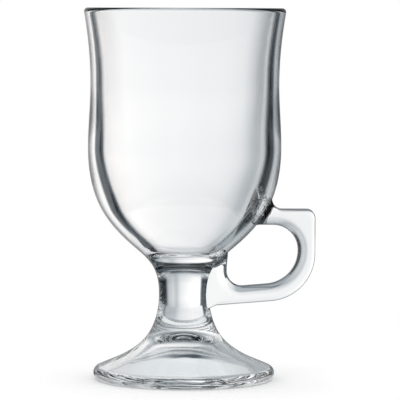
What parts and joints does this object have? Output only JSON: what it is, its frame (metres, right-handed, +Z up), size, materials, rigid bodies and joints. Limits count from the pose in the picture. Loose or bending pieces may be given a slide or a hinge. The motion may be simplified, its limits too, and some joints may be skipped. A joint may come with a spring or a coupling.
{
  "type": "footed glass mug",
  "caption": "Clear glass mug for hot drinks, with a thick bell-shaped bowl on a short solid stem and domed foot, and a flat-sided D handle with a thumb rest low on one side.",
  "frame": {"origin": "on the axis of the bowl, at the plane that the foot stands on", "axes": "+Z up along the axis of the bowl, +X towards the handle, +Y to the back"},
  "size_m": [0.0922, 0.0802, 0.148],
  "materials": {
    "clear_glass": "clear fire-polished soda-lime glass, faintly grey-green where it is thick"
  },
  "bodies": {
    "root": {"bowl": "clear_glass", "stem": "clear_glass", "foot": "clear_glass", "handle": "clear_glass"}
  },
  "joints": []
}
